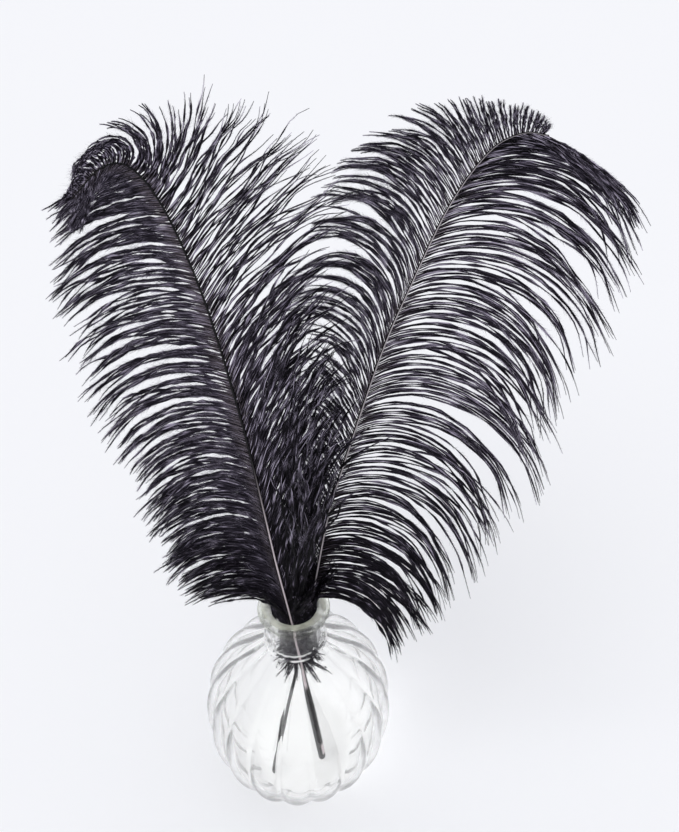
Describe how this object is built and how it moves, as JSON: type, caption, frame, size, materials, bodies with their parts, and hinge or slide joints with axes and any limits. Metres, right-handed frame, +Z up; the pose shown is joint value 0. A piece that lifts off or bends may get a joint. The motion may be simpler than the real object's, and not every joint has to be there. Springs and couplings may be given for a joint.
{
  "type": "ostrich feathers in a bud vase",
  "caption": "Two black ostrich plumes with curled tips, standing in a clear fluted glass bud vase.",
  "frame": {"origin": "centre of the vase's flat base, on the vase's axis", "axes": "+Z up along the vase's axis; -Y is the side that the plumes show their faces to; +X towards the right plume"},
  "size_m": [0.1628, 0.082, 0.3048],
  "materials": {
    "glass": "clear",
    "plume": "satin"
  },
  "bodies": {
    "root": {"vase": "glass", "left_plume": "plume", "right_plume": "plume"}
  },
  "joints": []
}
